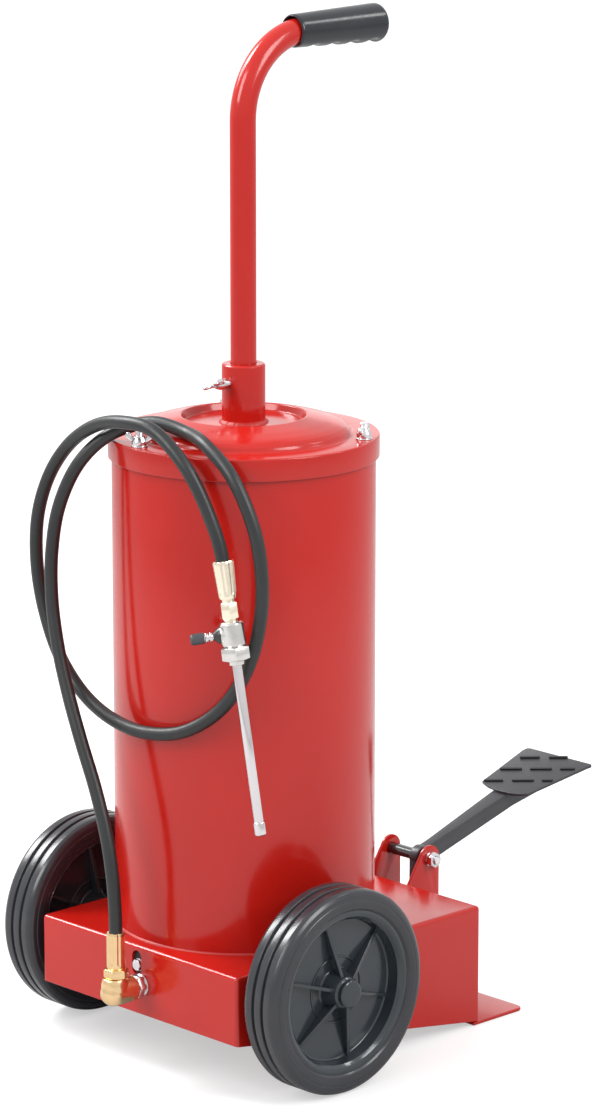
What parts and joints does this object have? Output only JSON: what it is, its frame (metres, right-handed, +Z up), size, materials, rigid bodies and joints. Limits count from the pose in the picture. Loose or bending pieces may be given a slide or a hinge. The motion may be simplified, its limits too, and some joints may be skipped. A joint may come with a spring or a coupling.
{
  "type": "wheeled foot-operated grease pump",
  "caption": "Wheeled drum grease pump with a folded sheet chassis, rear foot pedal, bent tube handle and a high-pressure hose ending in a valve and nozzle.",
  "frame": {"origin": "centre of the outer box (without the hose) on the floor", "axes": "+Z up along the drum axis, +Y rearwards to the foot pedal, -Y to the hose outlet on the front wall, +X to the right-hand wheel seen from the pedal's far side"},
  "size_m": [0.398, 0.632, 1.0043],
  "materials": {
    "red_paint": "gloss",
    "dark_paint": "satin",
    "tyre_rubber": "satin",
    "black_plastic": "gloss",
    "grip_plastic": "satin",
    "nylon": "matte",
    "rubber": "matte",
    "hose_rubber": "satin",
    "zinc_steel": "satin",
    "spring_steel": "satin",
    "chrome": "polished",
    "aluminium": "satin",
    "cast_iron": "matte",
    "brass": "satin"
  },
  "bodies": {
    "base": {"chassis": "red_paint", "toe_plate": "red_paint", "axle": "zinc_steel", "axle_collars": "zinc_steel", "hub_caps": "black_plastic", "drum_shell": "red_paint", "drum_floor": "red_paint", "base_weld": "red_paint", "lid_lugs": "red_paint", "lid_studs": "zinc_steel", "lid": "red_paint", "lid_gasket": "rubber", "lid_pads": "zinc_steel", "handle_socket": "red_paint", "socket_weld": "red_paint", "clamp_boss": "zinc_steel", "pump_neck": "cast_iron", "neck_screws": "zinc_steel", "pump_barrel": "cast_iron", "packing": "nylon", "gland_nut": "zinc_steel", "return_spring": "spring_steel", "check_spring": "spring_steel", "outlet_pipe": "zinc_steel", "pipe_clamp": "red_paint", "slot_bolt": "zinc_steel", "elbow_washer": "zinc_steel", "elbow": "brass", "elbow_nut": "brass", "lower_ferrule": "brass", "hose": "hose_rubber", "upper_ferrule": "brass", "adaptor": "brass", "valve_body": "chrome", "valve_nut": "chrome", "nozzle_tube": "chrome", "end_coupler": "chrome", "pedal_bracket": "red_paint", "pivot_bolt": "zinc_steel", "pivot_nut": "zinc_steel"},
    "wheel_left": {"tyre_left": "tyre_rubber", "rim_left": "black_plastic", "bush_left": "nylon"},
    "wheel_right": {"tyre_right": "tyre_rubber", "rim_right": "black_plastic", "bush_right": "nylon"},
    "pedal": {"pedal_arm": "dark_paint", "pedal_plate": "dark_paint"},
    "plunger": {"plunger": "chrome", "plunger_head": "spring_steel"},
    "handle": {"handle_tube": "red_paint", "grip": "grip_plastic"},
    "clamp_bolt": {"clamp_bolt": "zinc_steel"},
    "wing_nut_front": {"wing_nut_front": "zinc_steel"},
    "wing_nut_right": {"wing_nut_right": "zinc_steel"},
    "wing_nut_left": {"wing_nut_left": "zinc_steel"},
    "follower": {"follower_plate": "aluminium", "follower_seal": "rubber"},
    "valve_knob": {"valve_knob": "black_plastic"},
    "check_ball": {"check_ball": "chrome"}
  },
  "joints": [
    {"name": "wheel_left_spin", "type": "hinge", "parent": "base", "child": "wheel_left", "pos_m": [-0.1735, -0.17359, 0.1], "axis": [1, 0, 0], "continuous": true},
    {"name": "wheel_right_spin", "type": "hinge", "parent": "base", "child": "wheel_right", "pos_m": [0.1735, -0.17359, 0.1], "axis": [1, 0, 0], "continuous": true},
    {"name": "pedal_hinge", "type": "hinge", "parent": "base", "child": "pedal", "pos_m": [0.011, 0.10341, 0.1387], "axis": [-1, 0, 0], "range_deg": [0, 26], "stiffness_Nm_per_rad": 6, "springref_deg": -34.38},
    {"name": "plunger_slide", "type": "slide", "parent": "base", "child": "plunger", "axis": [0, -1, 0], "range_m": [0, 0.025], "deforming": ["return_spring"]},
    {"name": "handle_swivel", "type": "hinge", "parent": "base", "child": "handle", "pos_m": [0, -0.12559, 0.655], "axis": [0, 0, 1], "range_deg": [-180, 180]},
    {"name": "clamp_bolt_turn", "type": "hinge", "parent": "base", "child": "clamp_bolt", "pos_m": [0, -0.16059, 0.657], "axis": [0, -1, 0], "range_deg": [0, 360]},
    {"name": "wing_nut_front_turn", "type": "hinge", "parent": "base", "child": "wing_nut_front", "pos_m": [-0.01766, -0.24378, 0.614], "axis": [0, 0, 1], "range_deg": [0, 360]},
    {"name": "wing_nut_right_turn", "type": "hinge", "parent": "base", "child": "wing_nut_right", "pos_m": [0.10349, -0.06584, 0.614], "axis": [0, 0, 1], "range_deg": [0, 360]},
    {"name": "wing_nut_left_turn", "type": "hinge", "parent": "base", "child": "wing_nut_left", "pos_m": [-0.09789, -0.05705, 0.614], "axis": [0, 0, 1], "range_deg": [0, 360]},
    {"name": "follower_slide", "type": "slide", "parent": "base", "child": "follower", "axis": [0, 0, -1], "range_m": [0, 0.41]},
    {"name": "valve_knob_turn", "type": "hinge", "parent": "base", "child": "valve_knob", "pos_m": [0.09743, -0.2654, 0.44522], "axis": [-0.5741, -0.8096, -0.1222], "range_deg": [0, 90]},
    {"name": "check_ball_slide", "type": "slide", "parent": "base", "child": "check_ball", "axis": [0, -1, 0], "range_m": [0, 0.0015], "stiffness_N_per_m": 50, "springref_m": -0.004, "deforming": ["check_spring"]}
  ],
  "couplings": [
    {"joint": "plunger_slide", "follows": "pedal_hinge", "m_per_rad": 0.055}
  ]
}
